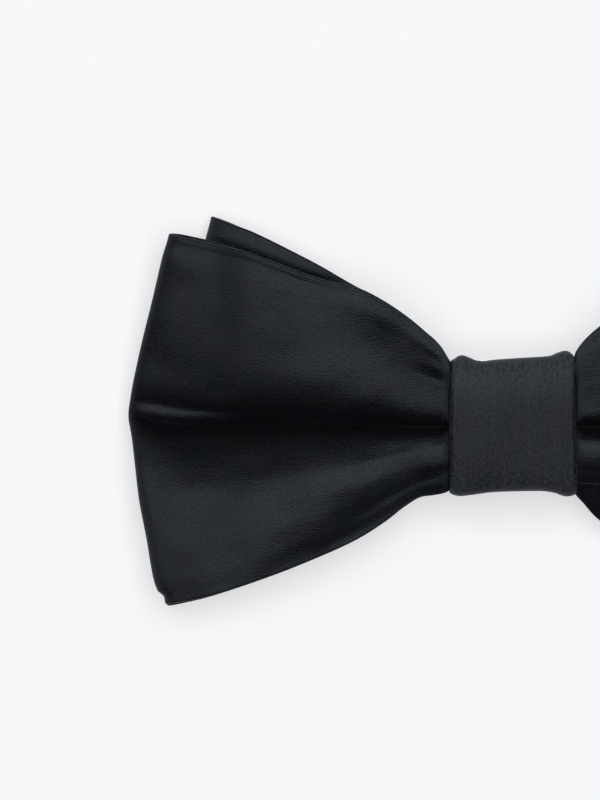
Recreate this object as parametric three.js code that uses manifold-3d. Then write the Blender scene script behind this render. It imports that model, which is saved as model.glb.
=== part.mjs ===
// Pre-tied, clip-on bow tie lying face up. Millimetres, +Z up.
// +Z is the front of the bow, X runs across it from wing to wing, +Y is the
// wearer's up. The origin is under the middle of the bow, on the surface it lies on.
//
// Build-up, from front to back: knot band, front bow, back bow, clip plate held
// under the knot band, sprung clip lever on its pin. Each bow is a flat tube of
// satin round a strip of interlining, looped into a left and a right wing with
// its two ends sewn together at the back of the waist.
import * as THREE from 'three';
import Module from 'manifold-3d';
import { mergeVertices } from 'three/addons/utils/BufferGeometryUtils.js';

const wasm = await Module();
wasm.setup();

// ---------------------------------------------------------------- dimensions
const PLY = 0.55;            // half of a folded tube's thickness: satin, interlining, satin
const HOLLOW = 0.30;         // half of the tube's inner space
const LINING = 0.18;         // half of the interlining's thickness
const SEAM_GAP = 1.2;        // between the two sewn ends of a looped tube
const KNOT_HALF_X = 9.7;     // knot band, half of its width across the bow
const KNOT_HALF_Y = 10.3;    // knot band, half of its height, outside
const KNOT_HALF_Z = 6.5;     // knot band, half of its thickness, outside
const KNOT_Z = 12.1;         // middle of the knot above the surface
const KNOT_EAR = 0.85;       // the band's edges stand this much prouder at its top and bottom
const THREAD = 0.25;         // radius of the sewing thread
const WAIST = 7.0;           // half of the gathered height inside the knot
const PLATE_Z = 6.95;        // underside of the clip plate
const PLATE_T = 0.5;         // sheet thickness of the clip plate
const PLATE_HALF_Y = 4.6;
const EAR_X = 10.6;          // inner face of the clip plate's ears
const PIN_Y = 1.0;           // hinge axis
const PIN_Z = 2.7;
const PIN_R = 0.8;
const PIN_HOLE_R = 0.95;
const LEVER_T = 0.6;         // sheet thickness of the lever
const LEVER_HALF_X = 10.2;
const LEVER_TAIL_Y = 10.0;
const LEVER_JAW_Y = -7.4;
const WIRE_R = 0.25;         // spring wire
const COIL_R = 1.25;         // spring coil, middle of the wire

// Outline of the left wings as [distance from the middle, height], and the fold line.
const FRONT_TOP = [[0, WAIST], [8.5, WAIST], [9.9, 8.4], [11.6, 11.6], [13.8, 14.3], [16.1, 16.2], [20.5, 19.1], [23.7, 20.6], [29.3, 22.2], [37.4, 25.1], [45.5, 28.3], [48.7, 29.2], [54, 30.2], [62, 31.8]];
const FRONT_BOTTOM = [[0, -WAIST], [8.5, -WAIST], [9.9, -8.4], [12, -10.6], [13.8, -11.0], [16.4, -12.2], [19.5, -14.4], [23.7, -16.8], [26.7, -18.2], [30.6, -19.6], [35.8, -21.3], [42.6, -23.4], [48.3, -25.0], [55.4, -26.3], [62, -27.6]];
const FRONT_BOTTOM_RIGHT = [[0, -WAIST], [8.5, -WAIST], [9.9, -8.2], [12, -9.2], [13.8, -9.5], [16.4, -11.2], [19.5, -13.6], [23.7, -16.5], [26.7, -18.1], [30.6, -19.6], [35.8, -21.3], [42.6, -23.4], [48.3, -25.0], [55.4, -26.3], [62, -27.6]];
const BACK_TOP = [[0, WAIST], [8.5, WAIST], [9.9, 8.4], [11.6, 11.6], [13.8, 14.5], [16.1, 16.3], [20.5, 19.5], [25.1, 21.9], [29.9, 24.7], [34.5, 27.1], [39.1, 29.4], [45.3, 32.2], [47.1, 32.8], [62, 38.0]];
const BACK_BOTTOM = [[0, -WAIST], [8.5, -WAIST], [9.9, -8.4], [12, -10.7], [13.8, -11.2], [16.4, -12.6], [19.5, -15.0], [23.7, -17.7], [26.7, -19.2], [30.6, -20.9], [35.8, -23.0], [42.6, -25.5], [48.3, -27.3], [54.5, -28.6], [62, -30.2]];
// Fold line as [v, distance from the middle], v from -1 at the lower edge to +1 at the upper.
const FRONT_FOLD = [[-1, 55.4], [-0.85, 56.2], [-0.6, 57.6], [-0.3, 58.9], [0, 60.16], [0.3, 58.8], [0.6, 56.9], [0.85, 55.2], [1, 54.0]];
const BACK_FOLD = [[-1, 54.4], [-0.6, 55.8], [0, 56.4], [0.6, 52.0], [0.85, 48.9], [1, 47.1]];

// Heights of the four panels above the surface along a wing, scaled to 60 at the fold.
const Z_FF = [[0, 13.9], [8.5, 13.9], [14.5, 13.6], [20, 14.0], [30, 13.4], [40, 11.9], [50, 9.6], [60, 7.6]];
const Z_FB = [[0, 12.4], [8.5, 12.4], [14.5, 11.9], [20, 11.0], [30, 9.0], [40, 7.4], [50, 5.9], [60, 4.8]];
const Z_BF = [[0, 10.9], [8.5, 10.9], [14.5, 9.3], [20, 8.5], [30, 7.3], [40, 5.7], [50, 4.3], [60, 3.3]];
const Z_BB = [[0, 9.4], [8.5, 9.4], [14.5, 7.6], [20, 6.1], [30, 4.0], [40, 2.3], [50, 1.1], [60, 0.6]];
// How deep the two-crested gather is along a wing.
const A_FF = [[0, 1.2], [8.5, 1.2], [11.6, 2.6], [14.5, 3.4], [30, 2.6], [45, 1.4], [60, 0.6]];
const A_FB = [[0, 1.2], [8.5, 1.2], [14.5, 1.3], [30, 1.0], [45, 0.6], [60, 0.3]];
const A_BB = [[0, 1.2], [8.5, 1.2], [14.5, 1.0], [30, 0.6], [60, 0.0]];

// ------------------------------------------------------------------- helpers
const table = (t, x) => {
  if (x <= t[0][0]) return t[0][1];
  for (let k = 1; k < t.length; k++) {
    if (x <= t[k][0]) {
      const f = (x - t[k - 1][0]) / (t[k][0] - t[k - 1][0]);
      return t[k - 1][1] + f * (t[k][1] - t[k - 1][1]);
    }
  }
  return t[t.length - 1][1];
};
const V = (x, y, z) => new THREE.Vector3(x, y, z);

// A grid of points, first index along the strip, second across it, with its normals.
function withNormals(grid) {
  const I = grid.length, J = grid[0].length;
  const normals = grid.map((row, i) => row.map((p, j) => {
    const a = grid[Math.min(i + 1, I - 1)][j].clone().sub(grid[Math.max(i - 1, 0)][j]);
    const b = grid[i][Math.min(j + 1, J - 1)].clone().sub(grid[i][Math.max(j - 1, 0)]);
    return a.cross(b).normalize();
  }));
  return { grid, normals };
}

// The same strip with its first and last columns drawn in by a length, and rows dropped at both ends.
function trimmed({ grid, normals }, inset, drop) {
  const rows = grid.slice(drop, grid.length - drop), nrm = normals.slice(drop, normals.length - drop);
  const pull = (row, a, b, unit) => {
    const d = row[a].distanceTo(row[b]);
    return unit.map((r) => r[a].clone().lerp(r[b], inset / d));
  };
  const g = [], n = [];
  rows.forEach((row, i) => {
    const J = row.length - 1;
    const [p0, n0] = pull(row, 0, 1, [row, nrm[i]]);
    const [p1, n1] = pull(row, J, J - 1, [row, nrm[i]]);
    g.push([p0, ...row.slice(1, J), p1]);
    n.push([n0, ...nrm[i].slice(1, J), n1]);
  });
  return { grid: g, normals: n };
}

function geometry(points, triangles) {
  const g = new THREE.BufferGeometry();
  g.setAttribute('position', new THREE.Float32BufferAttribute(points.flatMap((p) => [p.x, p.y, p.z]), 3));
  g.setIndex(triangles.flat());
  g.computeVertexNormals();
  return g;
}

// A solid strip of half-thickness h.
function slab(s, h) {
  const I = s.grid.length, J = s.grid[0].length, pts = [], tri = [];
  const at = (side) => (i, j) => side * I * J + i * J + j;
  const T = at(0), B = at(1);
  for (const sign of [1, -1]) {
    for (let i = 0; i < I; i++) for (let j = 0; j < J; j++) {
      pts.push(s.grid[i][j].clone().addScaledVector(s.normals[i][j], sign * h));
    }
  }
  const quad = (a, b, c, d) => tri.push([a, b, c], [a, c, d]);
  for (let i = 0; i < I - 1; i++) {
    for (let j = 0; j < J - 1; j++) {
      quad(T(i, j), T(i + 1, j), T(i + 1, j + 1), T(i, j + 1));
      tri.push([B(i, j), B(i + 1, j + 1), B(i + 1, j)], [B(i, j), B(i, j + 1), B(i + 1, j + 1)]);
    }
    quad(T(i, 0), B(i, 0), B(i + 1, 0), T(i + 1, 0));
    quad(T(i, J - 1), T(i + 1, J - 1), B(i + 1, J - 1), B(i, J - 1));
  }
  for (let j = 0; j < J - 1; j++) {
    quad(T(0, j), T(0, j + 1), B(0, j + 1), B(0, j));
    quad(T(I - 1, j), B(I - 1, j), B(I - 1, j + 1), T(I - 1, j + 1));
  }
  return geometry(pts, tri);
}

// A flat tube: a skin of half-thickness h round a hollow of half-thickness k, open at both ends.
function tube(s, h, k, inset) {
  const q = trimmed(s, inset, 0);
  const I = s.grid.length, J = s.grid[0].length, pts = [], tri = [];
  const at = (side) => (i, j) => side * I * J + i * J + j;
  const T = at(0), B = at(1), t = at(2), b = at(3);
  for (const [src, d] of [[s, h], [s, -h], [q, k], [q, -k]]) {
    for (let i = 0; i < I; i++) for (let j = 0; j < J; j++) {
      pts.push(src.grid[i][j].clone().addScaledVector(src.normals[i][j], d));
    }
  }
  const quad = (a, b2, c, d) => tri.push([a, b2, c], [a, c, d]);
  for (let i = 0; i < I - 1; i++) {
    for (let j = 0; j < J - 1; j++) {
      tri.push([T(i, j), T(i + 1, j), T(i + 1, j + 1)], [T(i, j), T(i + 1, j + 1), T(i, j + 1)]);
      tri.push([B(i, j), B(i + 1, j + 1), B(i + 1, j)], [B(i, j), B(i, j + 1), B(i + 1, j + 1)]);
      tri.push([t(i, j), t(i + 1, j + 1), t(i + 1, j)], [t(i, j), t(i, j + 1), t(i + 1, j + 1)]);
      tri.push([b(i, j), b(i + 1, j), b(i + 1, j + 1)], [b(i, j), b(i + 1, j + 1), b(i, j + 1)]);
    }
    quad(T(i, 0), B(i, 0), B(i + 1, 0), T(i + 1, 0));
    quad(T(i, J - 1), T(i + 1, J - 1), B(i + 1, J - 1), B(i, J - 1));
    quad(t(i, 0), t(i + 1, 0), b(i + 1, 0), b(i, 0));
    quad(t(i, J - 1), b(i, J - 1), b(i + 1, J - 1), t(i + 1, J - 1));
  }
  const L = I - 1, R = J - 1;
  for (let j = 0; j < R; j++) {
    quad(T(0, j), T(0, j + 1), t(0, j + 1), t(0, j));
    quad(b(0, j), b(0, j + 1), B(0, j + 1), B(0, j));
    quad(T(L, j), t(L, j), t(L, j + 1), T(L, j + 1));
    quad(b(L, j), B(L, j), B(L, j + 1), b(L, j + 1));
  }
  quad(T(0, 0), t(0, 0), b(0, 0), B(0, 0));
  quad(T(0, R), B(0, R), b(0, R), t(0, R));
  quad(T(L, 0), B(L, 0), b(L, 0), t(L, 0));
  quad(T(L, R), t(L, R), b(L, R), B(L, R));
  return geometry(pts, tri);
}

// A round thread or wire along points, closed or open.
function wire(points, radius, sides, steps, closed = false) {
  const path = new THREE.CatmullRomCurve3(points, closed, 'centripetal');
  const section = new THREE.Shape();
  for (let k = 0; k < sides; k++) {
    const a = (2 * Math.PI * k) / sides;
    const m = k === 0 ? 'moveTo' : 'lineTo';
    section[m](radius * Math.cos(a), radius * Math.sin(a));
  }
  section.closePath();
  return new THREE.ExtrudeGeometry(section, { steps, extrudePath: path, bevelEnabled: false });
}

const toManifold = (g) => {
  const bare = g.clone();
  bare.deleteAttribute('normal');
  bare.deleteAttribute('uv');
  const m = mergeVertices(bare, 1e-4);
  return new wasm.Manifold(new wasm.Mesh({
    numProp: 3,
    vertProperties: new Float32Array(m.attributes.position.array),
    triVerts: new Uint32Array(m.index.array),
  }));
};
const fromManifold = (solid) => {
  const m = solid.getMesh();
  const g = new THREE.BufferGeometry();
  g.setAttribute('position', new THREE.BufferAttribute(new Float32Array(m.vertProperties), 3));
  g.setIndex(new THREE.BufferAttribute(new Uint32Array(m.triVerts), 1));
  return g;
};
const box = (x0, x1, y0, y1, z0, z1) => {
  const g = new THREE.BoxGeometry(x1 - x0, y1 - y0, z1 - z0);
  g.translate((x0 + x1) / 2, (y0 + y1) / 2, (z0 + z1) / 2);
  return g;
};
// A sheet standing in the Y-Z plane, from [y, z] points, between two X values, with the pin's hole in it.
function ear(points, x0, x1) {
  const outline = points.map(([y, z]) => new THREE.Vector2(y, z));
  if (THREE.ShapeUtils.isClockWise(outline)) outline.reverse();
  const s = new THREE.Shape(outline);
  s.holes.push(new THREE.Path(Array.from({ length: 16 }, (_, k) => {
    const a = -(2 * Math.PI * k) / 16;
    return new THREE.Vector2(PIN_Y + PIN_HOLE_R * Math.cos(a), PIN_Z + PIN_HOLE_R * Math.sin(a));
  })));
  const g = new THREE.ExtrudeGeometry(s, { depth: x1 - x0, bevelEnabled: false });
  // the extrusion runs along its own Z; turn shape (y, z) and depth into row Y, Z and X
  const m = new THREE.Matrix4().set(0, 0, 1, x0, 1, 0, 0, 0, 0, 1, 0, 0, 0, 0, 0, 1);
  g.applyMatrix4(m);
  return g;
}
// A flat sheet in the X-Y plane with rounded corners, between two Z values.
function sheet(x0, x1, y0, y1, z0, z1, r) {
  const corner = (cx, cy, from) => Array.from({ length: 6 }, (_, k) => {
    const a = THREE.MathUtils.degToRad(from + 18 * k);
    return new THREE.Vector2(cx + r * Math.cos(a), cy + r * Math.sin(a));
  });
  const s = new THREE.Shape([
    ...corner(x1 - r, y0 + r, -90), ...corner(x1 - r, y1 - r, 0),
    ...corner(x0 + r, y1 - r, 90), ...corner(x0 + r, y0 + r, 180),
  ]);
  const g = new THREE.ExtrudeGeometry(s, { depth: z1 - z0, bevelEnabled: false });
  g.translate(0, 0, z0);
  return g;
}

// ---------------------------------------------------------------- bow units
const ACROSS = [-1, -0.75, -0.5, -0.25, 0, 0.25, 0.5, 0.75, 1];
const NEAR = [8.5, 11.4, 14.5];
const FAR = [0.35, 0.7, 1];
const gather = (v) => 0.5 * (1 - Math.cos(2 * Math.PI * v));

// One looped tube. side gives, for the left (-1) and right (+1) wing, the outline
// tables as functions of the distance from the middle and of v.
function bowStrip(side, zFront, zBack, aFront, aBack) {
  const column = (v) => {
    const pts = [];
    const wing = (sx) => {
      const s = side(sx);
      const lift = gather(v);
      const zf = table(zFront, 60) + table(aFront, 60) * lift;
      const zb = table(zBack, 60) + table(aBack, 60) * lift;
      const r = (zf - zb) / 2;
      const end = s.fold(v) - PLY - r;
      const y = (d) => { const lo = s.bottom(d), hi = s.top(d); return lo + (hi - lo) * (v + 1) / 2; };
      const stations = [...NEAR.map((d) => [d, d]), ...FAR.map((f) => [14.5 + f * (end - 14.5), 14.5 + f * 45.5])];
      const back = [[SEAM_GAP / 2, SEAM_GAP / 2], ...stations].map(([d, w]) => V(sx * d, y(d), table(zBack, w) + table(aBack, w) * lift));
      const fold = [60, 120].map((a) => {
        const c = THREE.MathUtils.degToRad(a), d = end + r;
        return V(sx * d, y(d), (zf + zb) / 2 - r * Math.cos(c));
      });
      const front = stations.slice().reverse().map(([d, w]) => V(sx * d, y(d), table(zFront, w) + table(aFront, w) * lift));
      return [...back, ...fold, ...front];
    };
    const left = wing(-1), right = wing(1).reverse();
    const s = side(-1);
    const y0 = s.bottom(0) + (s.top(0) - s.bottom(0)) * (v + 1) / 2;
    pts.push(...left, V(0, y0, table(zFront, 0) + table(aFront, 0) * gather(v)), ...right);
    return pts;
  };
  const columns = ACROSS.map(column);
  const grid = columns[0].map((_, i) => columns.map((c) => c[i]));
  return withNormals(grid);
}

const frontSide = (sx) => ({
  top: (d) => table(FRONT_TOP, d),
  bottom: (d) => table(sx < 0 ? FRONT_BOTTOM : FRONT_BOTTOM_RIGHT, d),
  fold: (v) => table(FRONT_FOLD, v),
});
// The back bow is turned about the knot, so its right wing is its left wing turned half round.
const backSide = (sx) => (sx < 0 ? {
  top: (d) => table(BACK_TOP, d),
  bottom: (d) => table(BACK_BOTTOM, d),
  fold: (v) => table(BACK_FOLD, v),
} : {
  top: (d) => -table(BACK_BOTTOM, d),
  bottom: (d) => -table(BACK_TOP, d),
  fold: (v) => table(BACK_FOLD, -v),
});
const frontStrip = bowStrip(frontSide, Z_FF, Z_FB, A_FF, A_FB);
const backStrip = bowStrip(backSide, Z_BF, Z_BB, A_FB, A_BB);

// ---------------------------------------------------------------- knot band
function ovalRing(halfY, halfZ, power, midZ, count, gap) {
  const fine = [];
  for (let k = 0; k <= 720; k++) {
    const a = -Math.PI / 2 + (2 * Math.PI * k) / 720;
    const c = Math.cos(a), s = Math.sin(a);
    fine.push([halfY * Math.sign(c) * Math.abs(c) ** (2 / power), midZ + halfZ * Math.sign(s) * Math.abs(s) ** (2 / power)]);
  }
  const run = [0];
  for (let k = 1; k < fine.length; k++) run.push(run[k - 1] + Math.hypot(fine[k][0] - fine[k - 1][0], fine[k][1] - fine[k - 1][1]));
  const total = run[run.length - 1], out = [];
  for (let n = 0; n <= count; n++) {
    const want = gap / 2 + (total - gap) * (n / count);
    let k = 1;
    while (k < run.length - 1 && run[k] < want) k++;
    const f = (want - run[k - 1]) / (run[k] - run[k - 1] || 1);
    out.push([fine[k - 1][0] + f * (fine[k][0] - fine[k - 1][0]), fine[k - 1][1] + f * (fine[k][1] - fine[k - 1][1])]);
  }
  return out;
}
const KNOT_ACROSS = [-1, -0.8, -0.4, 0.4, 0.8, 1];
const knotRings = KNOT_ACROSS.map((u) => ovalRing(KNOT_HALF_Y - PLY + KNOT_EAR * u ** 4, KNOT_HALF_Z - PLY, 4, KNOT_Z, 26, SEAM_GAP));
const knotStrip = withNormals(knotRings[0].map((_, i) => KNOT_ACROSS.map((u, j) => V(-u * KNOT_HALF_X, knotRings[j][i][0], knotRings[j][i][1]))));

// ------------------------------------------------------------------ threads
const zigzag = (n) => (n % 2 === 0 ? 0.12 : -0.12);
function seamAcrossWaist(z, a) {
  const pts = [];
  for (let n = 0; n <= 16; n++) {
    const v = -0.97 + (1.94 * n) / 16;
    pts.push(V(zigzag(n), v * WAIST, table(z, 0) + table(a, 0) * gather(v)));
  }
  return wire(pts, THREAD, 5, 16);
}
function seamBehindKnot() {
  const pts = [];
  for (let n = 0; n <= 14; n++) pts.push(V(-8.4 + (16.8 * n) / 14, zigzag(n), KNOT_Z - KNOT_HALF_Z + PLY));
  return wire(pts, THREAD, 5, 14);
}
function gatherThread() {
  const turns = 2, per = 20, ring = ovalRing(8.5, 4.3, 6, 12.3, per, 0), pts = [];
  for (let n = 0; n <= turns * per; n++) {
    const [y, z] = ring[n % per];
    pts.push(V(-1.6 + (3.2 * n) / (turns * per), y, z));
  }
  return wire(pts, THREAD, 5, turns * per);
}

// --------------------------------------------------------------------- clip
// Sheet plate under the knot band with an ear folded down past each edge of the band.
function clipPlate() {
  const top = PLATE_Z + PLATE_T;
  const profile = [[-1.2, top], [-1.2, 3.2]];
  for (let k = 0; k <= 8; k++) {
    const a = Math.PI + (Math.PI * k) / 8;
    profile.push([PIN_Y + 2.0 * Math.cos(a), PIN_Z + 2.0 * Math.sin(a)]);
  }
  profile.push([3.2, 3.2], [3.2, top]);
  let solid = toManifold(sheet(-EAR_X - PLATE_T, EAR_X + PLATE_T, -PLATE_HALF_Y, PLATE_HALF_Y, PLATE_Z, top, 1.2));
  solid = solid.add(toManifold(ear(profile, -EAR_X - PLATE_T, -EAR_X)));
  solid = solid.add(toManifold(ear(profile, EAR_X, EAR_X + PLATE_T)));
  return fromManifold(solid);
}
// Lever: a flat plate with a tail to press, an ear on each side for the pin, and a lip at the jaw.
function clipLever() {
  const profile = [[-1.6, 0], [-1.6, 2.0]];
  for (let k = 0; k <= 8; k++) {
    const a = Math.PI - (Math.PI * k) / 8;
    profile.push([PIN_Y + 1.7 * Math.cos(a), PIN_Z + 1.7 * Math.sin(a)]);
  }
  profile.push([3.6, 2.0], [3.6, 0]);
  const X = LEVER_HALF_X;
  let solid = toManifold(sheet(-X, X, LEVER_JAW_Y, LEVER_TAIL_Y, 0, LEVER_T, 1.6));
  solid = solid.add(toManifold(ear(profile, -X, -X + 0.5)));
  solid = solid.add(toManifold(ear(profile, X - 0.5, X)));
  solid = solid.add(toManifold(box(-X + 1.7, X - 1.7, LEVER_JAW_Y, LEVER_JAW_Y + 0.6, 0.1, 4.4)));
  return fromManifold(solid);
}
function jawPad() {
  // a soft strip that caps the lip, with a slot for the lip's edge
  const X = LEVER_HALF_X - 1.9, y0 = LEVER_JAW_Y - 0.5, y1 = LEVER_JAW_Y + 1.5;
  const body = toManifold(sheet(-X, X, y0, y1, 3.1, 5.45, 0.45));
  const slot = toManifold(box(-X - 1, X + 1, LEVER_JAW_Y - 0.05, LEVER_JAW_Y + 0.65, 2.5, 4.45));
  return fromManifold(body.subtract(slot));
}
function hingePin() {
  const h = EAR_X + PLATE_T + 0.1;
  const profile = [[0, -h - 0.5], [1.3, -h - 0.5], [1.3, -h], [PIN_R, -h], [PIN_R, h], [1.3, h], [1.3, h + 0.5], [0, h + 0.5]]
    .map(([r, y]) => new THREE.Vector2(r, y));
  const g = new THREE.LatheGeometry(profile, 14);
  g.rotateZ(-Math.PI / 2);
  g.translate(0, PIN_Y, PIN_Z);
  return g;
}
function clipSpring() {
  const pts = [V(-2.1, 5.6, 5.25), V(-2.1, 3.6, 4.65)];
  const turns = 3.5, per = 12;
  for (let n = 0; n <= turns * per; n++) {
    const a = Math.PI / 2 + (2 * Math.PI * n) / per;
    pts.push(V(-2.1 + (4.2 * n) / (turns * per), PIN_Y + COIL_R * Math.cos(a), PIN_Z + COIL_R * Math.sin(a)));
  }
  pts.push(V(2.1, 3.6, 1.15), V(2.1, 6.4, 0.92));
  return wire(pts, WIRE_R, 6, 54);
}

// ----------------------------------------------------------------- assembly
const satin = () => new THREE.MeshStandardMaterial({ color: 0x17181c, roughness: 0.5, metalness: 0 });
const canvas = () => new THREE.MeshStandardMaterial({ color: 0xd9d4c6, roughness: 0.95, metalness: 0 });
const cotton = () => new THREE.MeshStandardMaterial({ color: 0x0f1013, roughness: 0.8, metalness: 0 });
const nickel = () => new THREE.MeshStandardMaterial({ color: 0xb9bcc0, roughness: 0.3, metalness: 1 });
const rubber = () => new THREE.MeshStandardMaterial({ color: 0x1c1c1e, roughness: 0.85, metalness: 0 });

const bow = new THREE.Group();
const add = (parent, name, g, material) => {
  const m = new THREE.Mesh(g, material);
  m.name = name;
  parent.add(m);
  return m;
};
add(bow, 'front_bow_satin', tube(frontStrip, PLY, HOLLOW, 0.5), satin());
add(bow, 'front_bow_interlining', slab(trimmed(frontStrip, 0.75, 1), LINING), canvas());
add(bow, 'back_bow_satin', tube(backStrip, PLY, HOLLOW, 0.5), satin());
add(bow, 'back_bow_interlining', slab(trimmed(backStrip, 0.75, 1), LINING), canvas());
add(bow, 'knot_band_satin', tube(knotStrip, PLY, HOLLOW, 0.5), satin());
add(bow, 'knot_band_interlining', slab(trimmed(knotStrip, 0.75, 1), LINING), canvas());
add(bow, 'gather_thread', gatherThread(), cotton());
add(bow, 'front_bow_seam_thread', seamAcrossWaist(Z_FB, A_FB), cotton());
add(bow, 'back_bow_seam_thread', seamAcrossWaist(Z_BB, A_BB), cotton());
add(bow, 'knot_seam_thread', seamBehindKnot(), cotton());

const clip = new THREE.Group();
add(clip, 'clip_plate', clipPlate(), nickel());
add(clip, 'clip_hinge_pin', hingePin(), nickel());
add(clip, 'clip_spring', clipSpring(), nickel());
add(clip, 'clip_lever', clipLever(), nickel());
add(clip, 'clip_jaw_pad', jawPad(), rubber());
bow.add(clip);

export default bow;
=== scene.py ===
# Black satin pre-tied bow tie, lying face up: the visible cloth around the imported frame.
import math

import bpy
import numpy as np
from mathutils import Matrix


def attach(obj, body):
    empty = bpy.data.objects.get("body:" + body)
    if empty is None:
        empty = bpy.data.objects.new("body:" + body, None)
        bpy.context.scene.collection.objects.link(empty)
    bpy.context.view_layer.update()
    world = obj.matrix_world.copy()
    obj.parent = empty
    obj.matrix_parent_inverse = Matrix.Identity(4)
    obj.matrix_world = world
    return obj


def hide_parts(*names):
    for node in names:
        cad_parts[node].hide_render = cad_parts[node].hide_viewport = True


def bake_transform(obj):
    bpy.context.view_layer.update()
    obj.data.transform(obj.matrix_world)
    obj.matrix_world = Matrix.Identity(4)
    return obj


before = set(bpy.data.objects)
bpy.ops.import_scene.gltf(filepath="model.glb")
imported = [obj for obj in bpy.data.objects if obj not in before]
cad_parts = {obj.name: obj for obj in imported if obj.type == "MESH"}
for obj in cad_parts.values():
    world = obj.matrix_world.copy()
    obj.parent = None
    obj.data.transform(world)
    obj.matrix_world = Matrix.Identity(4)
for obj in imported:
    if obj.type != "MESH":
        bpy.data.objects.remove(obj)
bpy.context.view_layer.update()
MM = 0.001

# ------------------------------------------------------------------ camera
# Straight down, 200 mm lens; the view is 94 x 125.3 mm where the cloth lies.
cam_data = bpy.data.cameras.new("camera")
cam_data.lens = 200
cam_data.sensor_width = 36
cam_data.clip_start = 0.01
cam = bpy.data.objects.new("camera", cam_data)
VIEW_H, VIEW_Z = 125.33 * MM, 9.0 * MM
cam.location = (-33.06 * MM, 3.76 * MM, VIEW_Z + 200 * VIEW_H / 36)
cam.rotation_euler = (0, 0, 0)
bpy.context.scene.collection.objects.link(cam)
bpy.context.scene.camera = cam

# ------------------------------------------------------- interpolation tools
def pchip_rows(X, Y, q):
    """Shape-keeping cubic through each row's points; X, Y are (N, F), q is (N,)."""
    h = np.diff(X, axis=1)
    h = np.where(h < 1e-6, 1e-6, h)
    d = np.diff(Y, axis=1) / h
    m = np.zeros_like(Y)
    w1 = 2 * h[:, 1:] + h[:, :-1]
    w2 = h[:, 1:] + 2 * h[:, :-1]
    a, b = d[:, :-1], d[:, 1:]
    same = a * b > 0
    sa, sb = np.where(same, a, 1.0), np.where(same, b, 1.0)
    m[:, 1:-1] = np.where(same, (w1 + w2) / (w1 / sa + w2 / sb), 0.0)
    m[:, 0], m[:, -1] = d[:, 0], d[:, -1]
    k = (q[:, None] >= X[:, 1:-1]).sum(axis=1)
    r = np.arange(len(q))
    x0, hh = X[r, k], h[r, k]
    t = np.clip((q - x0) / hh, 0, 1)
    y0, y1, m0, m1 = Y[r, k], Y[r, k + 1], m[r, k] * hh, m[r, k + 1] * hh
    t2, t3 = t * t, t * t * t
    return (2 * t3 - 3 * t2 + 1) * y0 + (t3 - 2 * t2 + t) * m0 + (3 * t2 - 2 * t3) * y1 + (t3 - t2) * m1


def table(points, x):
    """The same cubic through one list of (x, y) points, at an array of x."""
    p = np.array(points, float)
    x = np.asarray(x, float)
    flat = x.ravel()
    n = len(flat)
    out = pchip_rows(np.tile(p[:, 0], (n, 1)), np.tile(p[:, 1], (n, 1)), flat)
    return out.reshape(x.shape)


def smooth(a, b, x):
    t = np.clip((x - a) / (b - a), 0, 1)
    return t * t * (3 - 2 * t)


def wobble(x, y, seed, size):
    """Gentle pseudo-random waviness in -1..1 from a few fixed sines."""
    rng = np.random.RandomState(seed)
    out = np.zeros_like(x)
    for _ in range(7):
        a, f, p = rng.uniform(0, 2 * math.pi), rng.uniform(0.6, 1.7) / size, rng.uniform(0, 2 * math.pi)
        out += np.sin(2 * math.pi * f * (x * math.cos(a) + y * math.sin(a)) + p)
    return out / 3.5


# --------------------------------------------------- shape of the bow, in mm
# d is the distance from the middle of the bow along X, y is up.
WAIST, FULL = 7.0, 8.5   # half the width at the thread, and where it fills the knot band
FRONT_TOP = [(0, WAIST), (1.6, WAIST), (4.5, FULL), (8.7, FULL), (9.3, 9.0), (9.9, 9.9), (11.2, 12.1), (13.8, 14.5), (16.1, 16.4), (20.5, 19.3), (23.7, 20.9), (29.3, 22.3), (37.4, 25.2), (45.5, 28.2), (48.7, 29.0), (54, 30.1), (62, 31.6)]
FRONT_BOTTOM = [(0, -WAIST), (1.6, -WAIST), (4.5, -FULL), (8.7, -FULL), (9.3, -9.1), (9.9, -10.3), (12.0, -11.0), (13.8, -11.1), (16.4, -12.3), (19.5, -14.7), (23.7, -17.6), (26.7, -19.1), (30.6, -20.8), (35.8, -22.9), (42.6, -25.3), (48.3, -27.0), (54.5, -28.2), (62, -29.6)]
FRONT_TOP_R = [(0, WAIST), (1.6, WAIST), (4.5, FULL), (8.7, FULL), (9.3, 9.2), (9.9, 11.0), (11.2, 13.0), (13.9, 15.4), (16.4, 17.4), (20.5, 20.0), (24, 21.4), (29.3, 23.0), (37.4, 25.6), (45.5, 28.2), (48.7, 29.0), (54, 30.1), (62, 31.6)]
FRONT_BOTTOM_R = [(0, -WAIST), (1.6, -WAIST), (4.5, -FULL), (8.7, -FULL), (9.3, -8.8), (9.9, -9.2), (12.0, -9.3), (13.9, -9.5), (16.4, -11.0), (19.5, -13.4), (23.7, -16.6), (26.7, -18.5), (30.6, -20.6), (35.8, -22.8), (42.6, -25.3), (48.3, -27.0), (54.5, -28.2), (62, -29.6)]
BACK_TOP = [(0, WAIST), (1.6, WAIST), (4.5, FULL), (8.7, FULL), (9.3, 9.0), (9.9, 9.9), (11.2, 12.1), (13.8, 14.5), (16.1, 16.3), (20.5, 19.4), (25.1, 21.9), (29.9, 24.7), (34.5, 27.1), (39.1, 29.4), (45.3, 32.2), (47.1, 32.9), (62, 38.5)]
BACK_BOTTOM = [(0, -WAIST), (1.6, -WAIST), (4.5, -FULL), (8.7, -FULL), (9.3, -9.1), (9.9, -10.4), (12, -11.1), (13.8, -11.3), (16.4, -12.7), (19.5, -15.1), (23.7, -17.8), (26.7, -19.3), (30.6, -21.0), (35.8, -23.1), (42.6, -25.6), (48.3, -27.4), (54.5, -28.8), (62, -30.4)]
BACK_RIGHT_TOP = [(d, -y) for d, y in BACK_BOTTOM]
BACK_RIGHT_BOTTOM = [(d, -y) for d, y in BACK_TOP]
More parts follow.
